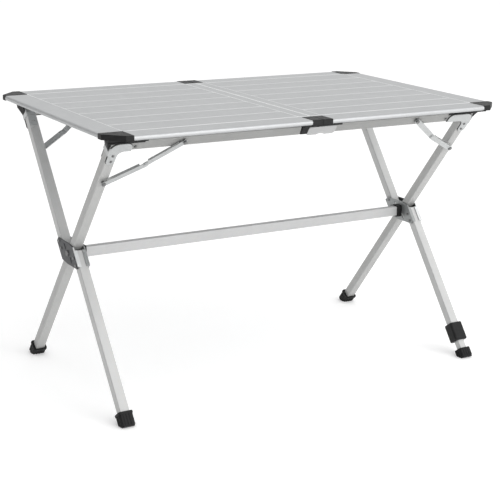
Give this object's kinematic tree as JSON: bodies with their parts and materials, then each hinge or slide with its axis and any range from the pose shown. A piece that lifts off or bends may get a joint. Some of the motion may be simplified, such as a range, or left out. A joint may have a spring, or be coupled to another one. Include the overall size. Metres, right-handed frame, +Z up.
{
  "type": "folding table",
  "caption": "Folding camping table with a two-part slatted aluminium top, crossed tube legs, a cross bar, folding stays and one levelling foot.",
  "frame": {"origin": "on the floor, under the middle of the tabletop", "axes": "+X along the tabletop's length, +Y from front to back, +Z up"},
  "size_m": [1.124, 0.71, 0.7008],
  "materials": {
    "top_aluminium": "fine brushed anodised",
    "tube_aluminium": "ribbed anodised",
    "zinc_plate": "zinc plated",
    "dark_plate": "dark grey satin",
    "rivet_steel": "satin",
    "black_plastic": "fine grained"
  },
  "bodies": {
    "front_frame": {"front_bracket_left": "zinc_plate", "front_bracket_right": "zinc_plate", "front_end_block_left": "black_plastic", "front_end_block_right": "black_plastic", "front_leg_left": "tube_aluminium", "front_leg_right": "tube_aluminium", "front_rail_joiner": "zinc_plate", "front_rail_left": "tube_aluminium", "front_rail_right": "tube_aluminium", "front_rivets": "rivet_steel", "rear_feet": "black_plastic", "hub_pins": "rivet_steel", "cross_bar": "tube_aluminium", "bar_sockets": "black_plastic"},
    "back_frame": {"back_bracket_left": "zinc_plate", "back_bracket_right": "zinc_plate", "back_end_block_left": "black_plastic", "back_end_block_right": "black_plastic", "back_lower_leg_left": "tube_aluminium", "back_lower_leg_right": "tube_aluminium", "back_rail_joiner": "zinc_plate", "back_rail_left": "tube_aluminium", "back_rail_right": "tube_aluminium", "back_rivets": "rivet_steel", "back_upper_leg_left": "tube_aluminium", "back_upper_leg_right": "tube_aluminium", "hub_plate_inner_left": "zinc_plate", "hub_plate_inner_right": "zinc_plate", "hub_plate_outer_left": "dark_plate", "hub_plate_outer_right": "dark_plate", "front_foot_left": "black_plastic", "leveller_clamp": "black_plastic"},
    "leveller": {"leveller_tube": "tube_aluminium", "leveller_foot": "black_plastic"},
    "top_left": {"left_centre_band": "top_aluminium", "left_corner_cap_back": "black_plastic", "left_corner_cap_front": "black_plastic", "left_edge_back": "top_aluminium", "left_edge_front": "top_aluminium", "left_end_band": "top_aluminium", "left_mid_caps": "black_plastic", "left_slats": "top_aluminium"},
    "top_right": {"right_centre_band": "top_aluminium", "right_corner_cap_back": "black_plastic", "right_corner_cap_front": "black_plastic", "right_edge_back": "top_aluminium", "right_edge_front": "top_aluminium", "right_end_band": "top_aluminium", "right_mid_caps": "black_plastic", "right_slats": "top_aluminium"},
    "front_latch": {"front_latch": "black_plastic"},
    "back_latch": {"back_latch": "black_plastic"},
    "front_stay_left_lower": {"front_stay_left_lower": "zinc_plate"},
    "front_stay_left_upper": {"front_stay_left_upper": "zinc_plate"},
    "front_stay_right_lower": {"front_stay_right_lower": "zinc_plate"},
    "front_stay_right_upper": {"front_stay_right_upper": "zinc_plate"},
    "back_stay_left_lower": {"back_stay_left_lower": "zinc_plate"},
    "back_stay_left_upper": {"back_stay_left_upper": "zinc_plate"},
    "back_stay_right_lower": {"back_stay_right_lower": "zinc_plate"},
    "back_stay_right_upper": {"back_stay_right_upper": "zinc_plate"}
  },
  "joints": [
    {"name": "frame_fold", "type": "hinge", "parent": "front_frame", "child": "back_frame", "pos_m": [0, -0.0215, 0.35], "axis": [1, 0, 0], "range_deg": [0, 73]},
    {"name": "top_lift", "type": "slide", "parent": "front_frame", "child": "top_left", "axis": [0, 0, 1], "range_m": [0, 0.41]},
    {"name": "top_fold", "type": "hinge", "parent": "top_left", "child": "top_right", "pos_m": [0, 0, 0.7018], "axis": [0, -1, 0], "range_deg": [0, 180]},
    {"name": "leveller_slide", "type": "slide", "parent": "back_frame", "child": "leveller", "axis": [0, -0.615, -0.7885], "range_m": [-0.015, 0.03]},
    {"name": "front_latch_turn", "type": "hinge", "parent": "top_left", "child": "front_latch", "pos_m": [-0.008, -0.3485, 0.6856], "axis": [0, 0, 1], "range_deg": [0, 90]},
    {"name": "back_latch_turn", "type": "hinge", "parent": "top_left", "child": "back_latch", "pos_m": [-0.008, 0.3485, 0.6856], "axis": [0, 0, -1], "range_deg": [0, 90]},
    {"name": "front_stay_left_leg_pivot", "type": "hinge", "parent": "front_frame", "child": "front_stay_left_lower", "pos_m": [-0.5115, -0.19617, 0.57393], "axis": [0, -0.7885, -0.615], "range_deg": [0, 7.51]},
    {"name": "front_stay_left_rail_pivot", "type": "hinge", "parent": "front_frame", "child": "front_stay_left_upper", "pos_m": [-0.338, -0.27243, 0.67171], "axis": [0, -0.7885, -0.615], "range_deg": [-7.51, 0]},
    {"name": "front_stay_right_leg_pivot", "type": "hinge", "parent": "front_frame", "child": "front_stay_right_lower", "pos_m": [0.5115, -0.19617, 0.57393], "axis": [0, 0.7885, 0.615], "range_deg": [0, 7.51]},
    {"name": "front_stay_right_rail_pivot", "type": "hinge", "parent": "front_frame", "child": "front_stay_right_upper", "pos_m": [0.338, -0.27243, 0.67171], "axis": [0, 0.7885, 0.615], "range_deg": [-7.51, 0]},
    {"name": "back_stay_left_leg_pivot", "type": "hinge", "parent": "back_frame", "child": "back_stay_left_lower", "pos_m": [-0.5115, 0.18931, 0.57393], "axis": [0, -0.7885, 0.615], "range_deg": [0, 7.51]},
    {"name": "back_stay_left_rail_pivot", "type": "hinge", "parent": "back_frame", "child": "back_stay_left_upper", "pos_m": [-0.338, 0.26558, 0.67171], "axis": [0, -0.7885, 0.615], "range_deg": [-7.51, 0]},
    {"name": "back_stay_right_leg_pivot", "type": "hinge", "parent": "back_frame", "child": "back_stay_right_lower", "pos_m": [0.5115, 0.18931, 0.57393], "axis": [0, 0.7885, -0.615], "range_deg": [0, 7.51]},
    {"name": "back_stay_right_rail_pivot", "type": "hinge", "parent": "back_frame", "child": "back_stay_right_upper", "pos_m": [0.338, 0.26558, 0.67171], "axis": [0, 0.7885, -0.615], "range_deg": [-7.51, 0]}
  ],
  "couplings": [
    {"joint": "top_lift", "follows": "frame_fold", "m_per_rad": 0.32},
    {"joint": "front_stay_left_rail_pivot", "follows": "front_stay_left_leg_pivot", "ratio": -1},
    {"joint": "front_stay_right_rail_pivot", "follows": "front_stay_right_leg_pivot", "ratio": -1},
    {"joint": "back_stay_left_rail_pivot", "follows": "back_stay_left_leg_pivot", "ratio": -1},
    {"joint": "back_stay_right_rail_pivot", "follows": "back_stay_right_leg_pivot", "ratio": -1}
  ]
}
